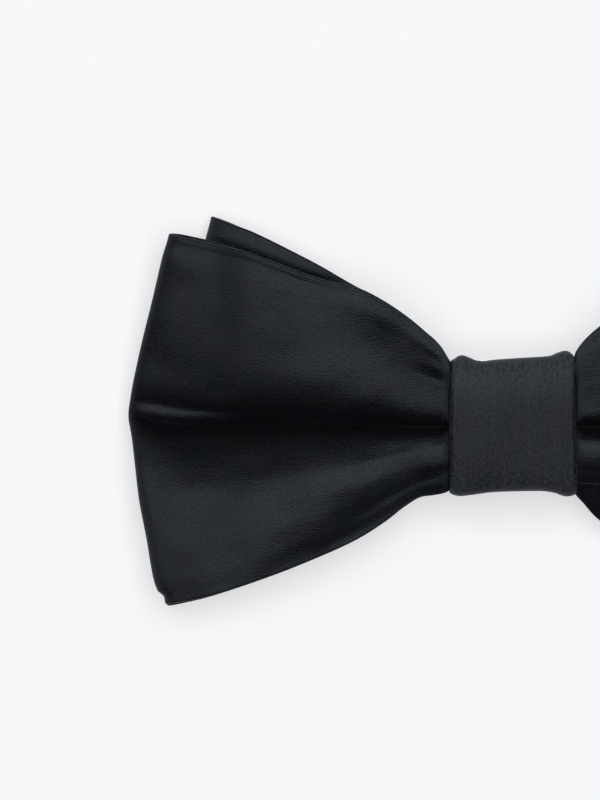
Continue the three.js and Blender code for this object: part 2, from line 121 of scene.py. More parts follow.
BACK_RIGHT_BOTTOM[5:8] = [(9.9, -10.5), (11.5, -12.5), (13.9, -15.0)]
BACK_RIGHT_TOP[5:8] = [(9.9, 10.6), (12, 12.6), (13.8, 14.4)]
# Line of the deep centre fold, and where each wing turns back on itself.
VALLEY = [(0, 0.0), (8.3, 0.0), (10.5, -0.4), (14, -0.45), (20.5, -0.15), (30, 0.05), (36, 0.1), (41, 0.0), (46.4, -0.5), (52, -0.6), (57, 0.2), (60.5, 1.5), (64, 1.8)]
FRONT_FOLD = [(-1, 54.35), (-0.955, 54.55), (-0.93, 55.3), (-0.9, 55.6), (-0.63, 57.0), (-0.4, 58.4), (-0.23, 59.1), (-0.09, 59.7), (0.0, 60.2), (0.1, 59.8), (0.28, 58.7), (0.44, 57.6), (0.62, 56.3), (0.81, 55.1), (0.985, 54.0), (1, 53.9)]
BACK_FOLD = [(-1, 54.3), (-0.9, 54.6), (-0.6, 55.2), (0, 55.2), (0.5, 50.9), (0.85, 48.3), (0.97, 47.5), (1, 47.3)]

# Relief of the front panel above its centre fold, mm. Columns: d. Rows: v, which runs
# from -1 at the lower edge through 0 at the fold to 1 at the upper edge.
REL_V = [-1, -0.93, -0.8, -0.65, -0.5, -0.38, -0.27, -0.17, -0.08, 0, 0.07, 0.14, 0.22, 0.32, 0.45, 0.6, 0.75, 0.9, 1]
WAIST_REL = [0.6 * (1 - math.cos(2 * math.pi * v)) for v in REL_V]
BAND_REL = [0.1, 0.4, 0.8, 1.05, 1.15, 1.15, 1.1, 0.9, 0.5, 0, 0.4, 0.8, 1.05, 1.15, 1.15, 1.1, 0.9, 0.5, 0.1]
LEFT_REL = [
    (0.0, WAIST_REL),
    (1.6, WAIST_REL),
    (4.5, BAND_REL),
    (8.7, BAND_REL),
    (9.9, [0.3, 0.55, 1.0, 1.5, 1.9, 2.0, 1.9, 1.5, 0.9, 0, 0.6, 1.0, 1.25, 1.45, 1.6, 1.95, 2.4, 2.8, 2.8]),
    (12.7, [0.3, 0.5, 0.95, 1.5, 1.9, 2.0, 1.9, 1.55, 1.0, 0, 0.7, 1.2, 1.45, 1.6, 1.8, 2.2, 2.8, 3.3, 3.4]),
    (16.6, [0.6, 0.8, 1.2, 1.8, 2.2, 2.3, 2.0, 1.6, 1.0, 0, 0.85, 1.45, 1.8, 2.0, 2.2, 2.6, 3.2, 3.8, 4.0]),
    (20.5, [1.1, 1.2, 1.6, 2.3, 2.8, 2.8, 2.4, 1.9, 1.1, 0, 1.0, 1.8, 2.3, 2.6, 2.8, 3.2, 3.85, 4.6, 5.0]),
    (25.2, [1.5, 1.6, 2.2, 3.0, 3.5, 3.4, 2.9, 2.2, 1.3, 0, 1.3, 2.2, 2.8, 3.2, 3.5, 3.8, 4.2, 4.7, 4.9]),
    (29.9, [2.4, 2.6, 3.3, 3.9, 4.2, 4.0, 3.4, 2.5, 1.4, 0, 1.3, 2.4, 3.1, 3.6, 3.9, 4.2, 4.5, 4.8, 5.0]),
    (35.4, [3.7, 3.9, 4.4, 4.8, 4.8, 4.4, 3.6, 2.7, 1.5, 0, 1.4, 2.7, 3.5, 4.1, 4.6, 5.1, 5.5, 5.9, 6.1]),
    (40.9, [4.9, 5.1, 5.3, 5.5, 5.4, 4.9, 4.0, 3.0, 1.6, 0, 1.4, 2.7, 3.6, 4.3, 4.9, 5.6, 6.1, 6.45, 6.6]),
    (46.4, [5.1, 5.2, 5.3, 5.4, 5.2, 4.9, 4.1, 3.1, 1.8, 0, 0.9, 1.9, 2.6, 3.4, 4.1, 4.6, 5.0, 5.3, 5.4]),
    (51.9, [4.7, 4.8, 5.0, 5.1, 5.0, 4.7, 4.0, 3.0, 1.7, 0, 0.6, 1.4, 2.2, 2.7, 3.5, 4.1, 4.5, 4.9, 5.0]),
    (56.6, [4.3, 4.4, 4.6, 4.6, 4.4, 4.1, 3.5, 2.6, 1.5, 0, 0.5, 1.1, 1.7, 2.1, 2.8, 3.4, 3.8, 4.2, 4.3]),
    (64.0, [3.4, 3.6, 3.8, 3.8, 3.6, 3.3, 2.7, 1.9, 1.0, 0, 0.4, 0.8, 1.2, 1.6, 2.2, 2.7, 3.0, 3.3, 3.4]),
]
RIGHT_REL = [
    (0.0, WAIST_REL),
    (1.6, WAIST_REL),
    (4.5, BAND_REL),
    (8.7, BAND_REL),
    (9.9, [0.6, 0.8, 1.15, 1.55, 1.85, 1.95, 1.85, 1.5, 0.95, 0, 0.8, 1.2, 1.35, 1.5, 1.75, 2.05, 2.3, 2.45, 2.45]),
    (12.7, [0.7, 0.9, 1.3, 1.75, 2.05, 2.15, 2.05, 1.65, 1.05, 0, 0.9, 1.35, 1.5, 1.7, 2.0, 2.3, 2.6, 2.8, 2.8]),
    (16.6, [0.9, 1.05, 1.4, 1.9, 2.25, 2.35, 2.15, 1.65, 1.05, 0, 0.95, 1.45, 1.75, 2.0, 2.3, 2.6, 2.95, 3.25, 3.3]),
] + LEFT_REL[7:]

# Height of the centre fold in each of the four panels, and how much of the front
# panel's relief each of the others takes up.
V_FF = [(0, 13.9), (1.6, 13.9), (4.5, 15.6), (8.7, 15.6), (9.45, 13.0), (9.9, 12.35), (12.7, 12.1), (16.6, 12.2), (20.5, 12.0), (25.2, 11.6), (29.9, 10.9), (35.4, 9.5), (40.9, 8.2), (46.4, 7.2), (51.9, 6.4), (56.6, 6.0), (64, 5.7)]
V_FB = [(0, 12.4), (1.6, 12.4), (4.5, 13.5), (8.7, 13.5), (9.7, 11.2), (10.3, 10.5), (12.7, 10.25), (16.6, 10.2), (20.5, 9.8), (25.2, 9.3), (29.9, 8.6), (35.4, 7.4), (40.9, 6.3), (46.4, 5.4), (51.9, 4.7), (56.6, 4.2), (64, 3.9)]
V_BF = [(0, 10.9), (1.6, 10.9), (4.5, 11.2), (8.6, 11.15), (9.15, 10.2), (9.7, 9.45), (10.4, 9.05), (12.7, 8.7), (16.6, 8.5), (20.5, 7.8), (29.9, 6.3), (40.9, 4.6), (50, 3.5), (57, 2.9), (64, 2.7)]
V_BB = [(0, 9.4), (1.6, 9.4), (4.5, 8.9), (8.7, 8.9), (10.4, 8.2), (12.7, 7.55), (16.6, 6.8), (20.5, 5.7), (29.9, 3.8), (40.9, 2.2), (50, 1.1), (57, 0.7), (64, 0.6)]
K_FB = [(0, 1.0), (8.7, 0.9), (10.6, 0.8), (16, 0.65), (20.5, 0.6), (30, 0.6), (41, 0.65), (50, 0.75), (57, 0.8), (64, 0.85)]
K_BF = [(0, 1.0), (8.7, 0.85), (10.6, 0.75), (16, 0.55), (20.5, 0.48), (30, 0.44), (41, 0.42), (50, 0.38), (57, 0.35), (64, 0.35)]
K_BB = [(0, 1.0), (4.5, 0.5), (8.7, 0.5), (10.6, 0.5), (16, 0.36), (20.5, 0.28), (30, 0.15), (41, 0.08), (50, 0.03), (57, 0.0), (64, 0.0)]


def groove(d, y, points, depth, width):
    """A crease (depth > 0) or ridge (depth < 0) that follows (d, y, strength) points."""
    p = np.array(points, float)
    yc = np.interp(d, p[:, 0], p[:, 1])
    s = np.interp(d, p[:, 0], p[:, 2], left=0, right=0)
    return -depth * s * np.exp(-(((y - yc) / width) ** 2))


def front_panel(side, d, y):
    """Height of the front bow's front panel above its centre fold."""
    rel, top, bottom = (LEFT_REL, FRONT_TOP, FRONT_BOTTOM) if side < 0 else (RIGHT_REL, FRONT_TOP_R, FRONT_BOTTOM_R)
    ds = [r[0] for r in rel]
    Z = np.stack([table([(a, r[1][f]) for a, r in zip(ds, rel)], d) for f in range(len(REL_V))], axis=1)
    lo, hi, mid = table(bottom, d), table(top, d), table(VALLEY, d)
    v = np.where(y >= mid, (y - mid) / (hi - mid), (y - mid) / (mid - lo))
    over = np.abs(v) - 1
    v = np.clip(v, -1, 1)
    z = pchip_rows(np.tile(np.array(REL_V, float), (len(d), 1)), Z, v)
    return z - 0.8 * np.clip(over, 0, 1)


def detail(side, d, y):
    """Small folds and unevenness on the outermost panel only."""
    z = np.zeros_like(d)
    far = smooth(8.8, 9.6, d)
    if side < 0:
        z += groove(d, y, [(39, 0.7, 0), (43, 0.8, 0.5), (47, 0.9, 0.9), (52, 1.15, 1), (56, 1.6, 1), (59.5, 2.1, 0.5), (61, 2.4, 0)], -0.12, 0.5)
        z += groove(d, y, [(38, 1.9, 0), (43, 2.1, 0.5), (48, 2.4, 0.9), (52, 2.7, 1), (56, 3.3, 1), (60, 3.9, 0)], 0.34, 0.6)
        z += groove(d, y, [(9.4, 6.4, 0.8), (11.5, 7.0, 1), (14, 7.8, 0.7), (17, 8.8, 0)], 0.10, 0.5)
        z += groove(d, y, [(9.4, 7.9, 0.8), (11.5, 8.6, 1), (14, 9.6, 0.6), (17, 10.8, 0)], -0.10, 0.6)
        z += groove(d, y, [(9.4, 9.2, 0.6), (12, 10.4, 0.8), (16, 12.4, 0)], 0.08, 0.6)
        z += groove(d, y, [(9.4, -7.2, 0.6), (12, -7.9, 1), (15, -8.9, 0.8), (20, -11.4, 0.6), (28, -16.5, 0)], 0.20, 1.0)
        z += groove(d, y, [(9.4, -2.6, 1), (12, -3.0, 0.6), (15, -3.6, 0)], 0.07, 0.4)
    else:
        z += groove(d, y, [(9.4, 6.4, 0.9), (12, 7.1, 1), (16, 8.5, 0)], 0.03, 0.7)
        z += groove(d, y, [(9.4, -6.8, 0.7), (12, -7.2, 1), (16, -8.5, 0)], 0.07, 0.8)
        z += groove(d, y, [(37, 1.1, 0), (44, 1.0, 0.6), (52, 1.3, 1), (59, 2.2, 0.4), (61, 2.6, 0)], -0.22, 0.5)
    return z * far


def edge_groove(d, v):
    """The line just inside the upper edge, where the rolled edge's seam allowance stops."""
    return -0.15 * np.exp(-(((v - 0.955) / 0.018) ** 2)) * smooth(26, 34, d) * (1 - smooth(53, 57, d))


def height(panel, side, d, y):
    shape = d.shape
    d, y = d.ravel(), y.ravel()
    rel = front_panel(side, d, y)
    slit = np.exp(-(((y - table(VALLEY, d)) / 0.36) ** 2)) * smooth(9.6, 11.2, d)
    if panel == "FF":
        z = table(V_FF, d) + rel + detail(side, d, y) - 0.85 * slit * (1 - 0.7 * smooth(42, 56, d))
        z += 0.055 * smooth(12, 20, d) * wobble(d, y * 1.4, 11 + side, 14.0) + 0.018 * smooth(10, 14, d) * wobble(d, y, 51 + side, 4.5)
    else:
        v, k = {"FB": (V_FB, K_FB), "BF": (V_BF, K_BF), "BB": (V_BB, K_BB)}[panel]
        z = table(v, d) + table(k, d) * rel
        if panel in ("BF", "BB"):
            z += 0.05 * smooth(12, 20, d) * wobble(d, y, 31 + side, 15.0)
            if side < 0 and panel == "BF":
                # the back bow dips where the front one covers it
                z -= 0.6 * smooth(24, 32, d) * (1 - smooth(-0.5, 1.5, y - table(FRONT_TOP, d)))
            if side > 0:
                z += (0.3 if panel == "BF" else 0.2) * np.minimum(y + 8.5, 0) * smooth(9.5, 11, d) * (1 - smooth(16, 26, d))
        if panel == "BB":
            z = np.maximum(z, 0.6)
    return z.reshape(shape)


# ------------------------------------------------------------ looped tubes
HALF = 0.5          # half of the tube's thickness in the wings
HALF_WAIST = 0.42   # and where it is gathered


def v_samples(n):
    fine = np.linspace(-1, 1, 4001)
    w = 1 + 3.0 * np.exp(-((fine / 0.06) ** 2)) + 2.5 * np.exp(-(((np.abs(fine) - 1) / 0.035) ** 2))
    c = np.cumsum(w)
    c = (c - c[0]) / (c[-1] - c[0])
    v = np.interp(np.linspace(0, 1, n), c, fine)
    v[np.argmin(np.abs(v))] = 0.0
    return v


def d_samples():
    return np.concatenate([[0.6, 1.5, 2.4, 3.4, 4.6, 6.2, 7.6, 8.4], np.arange(8.8, 13.0, 0.3), np.arange(13.0, 22.0, 0.55), np.arange(22, 50, 1.1), np.arange(50, 57.9, 0.75), [58.0]])


V = v_samples(97)
D0 = d_samples()


def bow_grid(front):
    """Points of the tube's middle surface, (rows along the tube, columns across)."""
    sides = []
    for side in (-1, 1):
        if front:
            top, bottom = (FRONT_TOP, FRONT_BOTTOM) if side < 0 else (FRONT_TOP_R, FRONT_BOTTOM_R)
            fold, sv = FRONT_FOLD, V
            panels = ("FF", "FB")
        else:
            top, bottom = (BACK_TOP, BACK_BOTTOM) if side < 0 else (BACK_RIGHT_TOP, BACK_RIGHT_BOTTOM)
            fold, sv = BACK_FOLD, (V if side < 0 else -V)
            panels = ("BF", "BB")
        apex = table(fold, sv)[None, :] + (0.12 * np.sin(5 * V + side) if front else 0)

        def y_at(d, grow=0.0):
            lo, hi, mid = table(bottom, d), table(top, d), table(VALLEY, d)
            inset = 0.18 * smooth(9.0, 12.0, d)
            lo, hi = lo + inset, hi - inset
            hi = hi + grow * smooth(40, 47, d) * (1 - smooth(53.5, 58, d))
            v = np.broadcast_to(V[None, :], d.shape)
            return np.where(v >= 0, mid + v * (hi - mid), mid + v * (mid - lo))

        lanes = {}
        r_end = 1.2
        for which in panels * 3:
            if len(lanes) == 2:
                r_end = np.maximum((lanes[panels[0]][2][-1] - lanes[panels[1]][2][-1]) / 2, 0.55)
            end = apex - HALF - 1.02 * r_end
            d = D0[:, None] + (end - 58.0) * smooth(20, 58, D0)[:, None]
            grow = 0.0
            if which == "FF":
                grow = -0.55 if side < 0 else -0.3
            if which == "BF":
                grow = -0.5 if side < 0 else 0.0
            y = y_at(d, grow)
            z = height(which, side, d, y)
            if which == "FF":
                z = z + edge_groove(d, np.broadcast_to(V[None, :], d.shape))
            lanes[which] = (d, y, z)
        dF, yF, zF = lanes[panels[0]]
        dB, yB, zB = lanes[panels[1]]
        # the fold: a curve from the end of the back panel round to the end of the front panel
        r = (zF[-1] - zB[-1]) / 2
        r = np.maximum(r, 0.55)
        L = 4 / 3 * r * 1.04
        sF = (zF[-1] - zF[-3]) / (dF[-1] - dF[-3])
        sB = (zB[-1] - zB[-3]) / (dB[-1] - dB[-3])
        t = np.linspace(0, 1, 13)[1:-1, None]
        b0, b1, b2, b3 = (1 - t) ** 3, 3 * t * (1 - t) ** 2, 3 * t * t * (1 - t), t ** 3
        fd = b0 * dB[-1] + b1 * (dB[-1] + L) + b2 * (dF[-1] + L) + b3 * dF[-1]
        fz = b0 * zB[-1] + b1 * (zB[-1] + L * sB) + b2 * (zF[-1] + L * sF) + b3 * zF[-1]
        fy = y_at(fd) + (1 - t) * (yB[-1] - y_at(dB[-1:])) + t * (yF[-1] - y_at(dF[-1:]))
        path_d = np.concatenate([dB, fd, dF[::-1]])
        path_y = np.concatenate([yB, fy, yF[::-1]])
        path_z = np.concatenate([zB, fz, zF[::-1]])
        sides.append(np.stack([side * path_d, path_y, path_z], axis=-1))
    left, right = sides[0], sides[1][::-1]
    # across the middle the front panel is one piece: drop the doubled station near d = 0.6
    return np.concatenate([left[:-1], right[1:]])


def normals_of(P):
    di = np.gradient(P, axis=0)
    dj = np.gradient(P, axis=1)
    n = np.cross(di, dj)
    return n / np.maximum(np.linalg.norm(n, axis=-1, keepdims=True), 1e-9)


def mesh_object(name, verts, faces, uvs):
    """uvs holds one (along, across) pair in mm for each corner of each face."""
    me = bpy.data.meshes.new(name)
    me.from_pydata((np.asarray(verts) * MM).tolist(), [], faces)
    layer = me.uv_layers.new(name="cloth")
    layer.data.foreach_set("uv", (np.concatenate([np.asarray(u, float) for u in uvs]) * MM).astype(np.float32).ravel())
    me.update()
    for p in me.polygons:
        p.use_smooth = True
    ob = bpy.data.objects.new(name, me)
    bpy.context.scene.collection.objects.link(ob)
    return ob


def cloth_coords(P):
    """Length along the tube and distance across it, in mm, at each grid point."""
    along = np.linalg.norm(np.diff(P, axis=0), axis=-1)
    s = np.concatenate([np.zeros((1, P.shape[1])), np.cumsum(along, axis=0)])
    s = s - s[len(s) // 2][None, :]
    across = np.linalg.norm(np.diff(P, axis=1), axis=-1)
    w = np.concatenate([np.zeros((P.shape[0], 1)), np.cumsum(across, axis=1)], axis=1)
    w = w - w[:, [P.shape[1] // 2]]
    return s, w


def quads(a, b, c, d):
    return np.stack([a, b, c, d], axis=-1).reshape(-1, 4).tolist()


def quad_uv(S, W, order):
    """Corner UVs for a grid of quads; order names the four corners as (row step, column step)."""
    n, m = S.shape[0] - 1, S.shape[1] - 1
    c = [np.stack([S[i:i + n, j:j + m], W[i:i + n, j:j + m]], axis=-1) for i, j in order]
    return np.stack(c, axis=2).reshape(-1, 4, 2)


def tube_mesh(name, P, half, skin=0.15, pressed=(0.86, 0.99)):
    """A flat tube with rolled long edges, open at its two ends, with a hollow inside."""
    N = normals_of(P)
    I, J = P.shape[:2]
    s, _ = cloth_coords(P)
    _, w = cloth_coords(P)
    across = w / np.maximum(np.where(w < 0, -w[:, :1], w[:, -1:]), 1e-6)
    press = 1 - 0.42 * smooth(pressed[0], pressed[1], np.abs(across))
    H = half[:, None] * press
    # unit vectors pointing out of each long edge
    e0 = P[:, 0] - P[:, 1]
    e1 = P[:, -1] - P[:, -2]
    e0 /= np.linalg.norm(e0, axis=-1, keepdims=True)
    e1 /= np.linalg.norm(e1, axis=-1, keepdims=True)
    arc = np.radians([60, 30, 0, -30, -60])
    hc = [H[:, [j]] for j in range(J)]
    top = [P[:, j] + hc[j] * N[:, j] for j in range(J)]
    right = [P[:, -1] + hc[-1] * (math.cos(a) * e1 + math.sin(a) * N[:, -1]) for a in arc]
    bottom = [P[:, j] - hc[j] * N[:, j] for j in range(J - 1, -1, -1)]
    left = [P[:, 0] + hc[0] * (math.cos(a) * e0 + math.sin(a) * N[:, 0]) for a in arc[::-1]]
    R = np.stack(top + right + bottom + left, axis=1)
    M = R.shape[1]
    S = np.concatenate([s, np.repeat(s[:, -1:], 5, 1), s[:, ::-1], np.repeat(s[:, :1], 5, 1), s[:, :1]], axis=1)
    W = np.concatenate([np.zeros((I, 1)), np.cumsum(np.linalg.norm(np.diff(np.concatenate([R, R[:, :1]], axis=1), axis=1), axis=-1), axis=1)], axis=1)
    W = W - W[:, [J // 2]]
    outer = np.arange(I * M).reshape(I, M)
    o2 = np.concatenate([outer, outer[:, :1]], axis=1)
    faces = quads(o2[:-1, :-1], o2[1:, :-1], o2[1:, 1:], o2[:-1, 1:])
    uvs = list(quad_uv(S, W, ((0, 0), (1, 0), (1, 1), (0, 1))))
    # inner wall on every second column
    js = list(range(2, J - 2, 2))
    Q = np.stack([P[:, j] + (hc[j] - skin) * N[:, j] for j in js] + [P[:, j] - (hc[j] - skin) * N[:, j] for j in js[::-1]], axis=1)
    K = Q.shape[1]
    inner = I * M + np.arange(I * K).reshape(I, K)
    n2 = np.concatenate([inner, inner[:, :1]], axis=1)
    Si = np.concatenate([s[:, js], s[:, js[::-1]], s[:, js[:1]]], axis=1)
    Wi = np.concatenate([np.zeros((I, 1)), np.cumsum(np.linalg.norm(np.diff(np.concatenate([Q, Q[:, :1]], axis=1), axis=1), axis=-1), axis=1)], axis=1)
    faces += quads(n2[:-1, :-1], n2[:-1, 1:], n2[1:, 1:], n2[1:, :-1])
    uvs += list(quad_uv(Si, Wi, ((0, 0), (0, 1), (1, 1), (1, 0))))
    # end rings between the outer and the inner loop
    pairs = list(zip(js[:-1], js[1:]))
    bot = lambda j: J + 5 + (J - 1 - j)
    for i, flip in ((0, False), (I - 1, True)):
        o, n = outer[i], inner[i]
        ring = [[o[a], o[a + 1], o[b], n[q + 1], n[q]] for q, (a, b) in enumerate(pairs)]
        ring += [[n[K - 1 - q], n[K - 2 - q], o[bot(b)], o[bot(b) + 1], o[bot(a)]] for q, (a, b) in enumerate(pairs)]
        ring.append([o[c] for c in range(js[-1], bot(js[-1]) + 1)] + [n[K // 2], n[K // 2 - 1]])
        ring.append([o[c % M] for c in range(bot(js[0]), M + js[0] + 1)] + [n[0], n[K - 1]])
        flat = np.concatenate([R.reshape(-1, 3), Q.reshape(-1, 3)])
        for f in ring:
            f = [int(x) for x in f]
            f = f[::-1] if not flip else f
            faces.append(f)
            uvs.append(flat[f][:, 1:])
    return mesh_object(name, np.concatenate([R.reshape(-1, 3), Q.reshape(-1, 3)]), faces, uvs)


def slab_mesh(name, P, half, step=2, inset=12):
    """The interlining: a thin strip inside the tube."""
    N = normals_of(P)
    rows = list(range(3, P.shape[0] - 3, step))
    colsj = list(range(inset, P.shape[1] - inset, step))
    Q, M = P[np.ix_(rows, colsj)], N[np.ix_(rows, colsj)]
    I, J = Q.shape[:2]
    S, W = cloth_coords(Q)
    verts = np.concatenate([(Q + half * M).reshape(-1, 3), (Q - half * M).reshape(-1, 3)])
    T = np.arange(I * J).reshape(I, J)
    B = T + I * J
    f = quads(T[:-1, :-1], T[1:, :-1], T[1:, 1:], T[:-1, 1:])
    u = list(quad_uv(S, W, ((0, 0), (1, 0), (1, 1), (0, 1))))
    f += quads(B[:-1, :-1], B[:-1, 1:], B[1:, 1:], B[1:, :-1])
    u += list(quad_uv(S, W, ((0, 0), (0, 1), (1, 1), (1, 0))))
    rim = [(T[:-1, 0], B[:-1, 0], B[1:, 0], T[1:, 0]), (T[:-1, -1], T[1:, -1], B[1:, -1], B[:-1, -1]),
           (T[0, :-1], T[0, 1:], B[0, 1:], B[0, :-1]), (T[-1, :-1], B[-1, :-1], B[-1, 1:], T[-1, 1:])]
    cl = np.concatenate([np.stack([S, W], -1).reshape(-1, 2)] * 2)
    for r in rim:
        q = quads(*r)
        f += q
        u += [cl[x] for x in q]
    return mesh_object(name, verts, f, u)


def half_of(P):
    d = np.abs(P[:, P.shape[1] // 2, 0])
    return HALF_WAIST - 0.1 * smooth(8.4, 9.0, d) * (1 - smooth(10.8, 13, d)) + (HALF - HALF_WAIST) * smooth(12, 24, d)


P_front, P_back = bow_grid(True), bow_grid(False)
front_bow = tube_mesh("front_bow", P_front, half_of(P_front))
back_bow = tube_mesh("back_bow", P_back, half_of(P_back))
front_lining = slab_mesh("front_interlining", P_front, 0.08)
back_lining = slab_mesh("back_interlining", P_back, 0.08)

# --------------------------------------------------------------- knot band
KNOT_Z, KNOT_C = 12.1, 6.5
K_TOP = [(-10.2, 10.0), (-9.4, 10.25), (-8.6, 10.75), (-7.4, 10.4), (-6.2, 9.95), (-4.8, 9.85), (-2.9, 10.05), (1.8, 10.35), (6.5, 10.65), (8.0, 11.2), (9.0, 11.45), (9.6, 11.1), (10.2, 10.6)]
K_BOT = [(-10.2, -10.7), (-9.6, -11.0), (-8.6, -11.2), (-7.0, -11.05), (-3.4, -10.6), (0.5, -10.45), (4.4, -10.4), (6.8, -10.7), (8.7, -11.25), (9.6, -11.1), (10.2, -10.6)]
K_LEFT = [(-12, -9.65), (-10.5, -9.75), (-7, -9.8), (-0.3, -9.93), (3.3, -9.8), (7.5, -9.6), (10, -9.5), (12, -9.4)]
K_RIGHT = [(-12, 9.95), (-10.5, 9.9), (-7, 9.8), (-0.3, 9.6), (5.9, 9.4), (10.7, 9.45), (12, 9.45)]


def knot_grid(rows=190, cols=61, half=0.52):
    u = np.linspace(-1, 1, cols)
    u = np.sign(u) * np.abs(u) ** 0.7
    a = np.linspace(-math.pi / 2, 1.5 * math.pi, 1441)
    P = np.zeros((rows, cols, 3))
    for j, uu in enumerate(u):
        x0 = uu * 9.7
        b_top, b_bot = float(table(K_TOP, [x0])[0]) - half, -float(table(K_BOT, [x0])[0]) - half
        c = KNOT_C - half
        ca, sa = np.cos(a), np.sin(a)
        p = 5.2
        # right half of the loop (+y) and left half (-y)
        yy = np.where(ca >= 0, b_top, b_bot) * np.sign(ca) * np.abs(ca) ** (2 / p)
        zz = KNOT_Z + c * np.sign(sa) * np.abs(sa) ** (2 / p)
        # a slight crown on the front and a slack back
        zz = zz + np.clip(sa, 0, 1) ** 2 * (0.1 - 0.7 * (yy / 10.5) ** 2)
        run = np.concatenate([[0], np.cumsum(np.hypot(np.diff(yy), np.diff(zz)))])
        want = 0.6 + (run[-1] - 1.2) * np.linspace(0, 1, rows)
        y, z = np.interp(want, run, yy), np.interp(want, run, zz)
        left, right = table(K_LEFT, y), table(K_RIGHT, y)
        x = (left + right) / 2 + uu * ((right - left) / 2 - half)
        front = smooth(13.5, 16.5, z)
        # the band's own soft unevenness on its front
        z = z + front * (0.05 * wobble(x, y * 0.8, 5, 9.0) - 0.10 * np.exp(-(((x - 4.6 - 0.06 * y) / 0.7) ** 2)) * smooth(-2, 5, y))
        P[:, j] = np.stack([x, y, z], axis=-1)
    return P[:, ::-1]


P_knot = knot_grid()
knot_band = tube_mesh("knot_band", P_knot, np.full(P_knot.shape[0], 0.52), pressed=(1.1, 1.2))
knot_lining = slab_mesh("knot_interlining", P_knot, 0.14, inset=9)


# ---------------------------------------------------------------- materials
def new_material(name):
    m = bpy.data.materials.new(name)
    m.use_nodes = True
    nt = m.node_tree
    nt.nodes.clear()
    out = nt.nodes.new("ShaderNodeOutputMaterial")
    p = nt.nodes.new("ShaderNodeBsdfPrincipled")
    nt.links.new(p.outputs[0], out.inputs["Surface"])
    return m, nt, p


def node(nt, kind, **kw):
    n = nt.nodes.new(kind)
    for k, v in kw.items():
        if k == "inputs":
            for a, b in v.items():
                n.inputs[a].default_value = b
        else:
            setattr(n, k, v)
    return n


def math_node(nt, op, a, b=None, clamp=False):
    n = nt.nodes.new("ShaderNodeMath")
    n.operation = op
    n.use_clamp = clamp
    for k, x in enumerate((a, b)):
        if x is None:
            continue
        if isinstance(x, (int, float)):
            n.inputs[k].default_value = x
        else:
            nt.links.new(x, n.inputs[k])
    return n.outputs[0]


def cloth_vector(nt):
    """Length along and distance across the cloth, in mm."""
    uv = node(nt, "ShaderNodeUVMap", uv_map="cloth")
    sc = node(nt, "ShaderNodeVectorMath", operation="SCALE", inputs={"Scale": 1000.0})
    nt.links.new(uv.outputs[0], sc.inputs[0])
    sep = node(nt, "ShaderNodeSeparateXYZ")
    nt.links.new(sc.outputs[0], sep.inputs[0])
    return sc.outputs[0], sep.outputs[0], sep.outputs[1]


def noise_at(nt, a, b, sa, sb, detail=2.0, rough=0.6):
    """Noise stretched to sa and sb cycles per mm along and across."""
    c = node(nt, "ShaderNodeCombineXYZ")
    nt.links.new(math_node(nt, "MULTIPLY", a, sa), c.inputs[0])
    nt.links.new(math_node(nt, "MULTIPLY", b, sb), c.inputs[1])
    n = node(nt, "ShaderNodeTexNoise", inputs={"Scale": 1.0, "Detail": detail, "Roughness": rough})
    nt.links.new(c.outputs[0], n.inputs["Vector"])
    return n.outputs["Fac"]


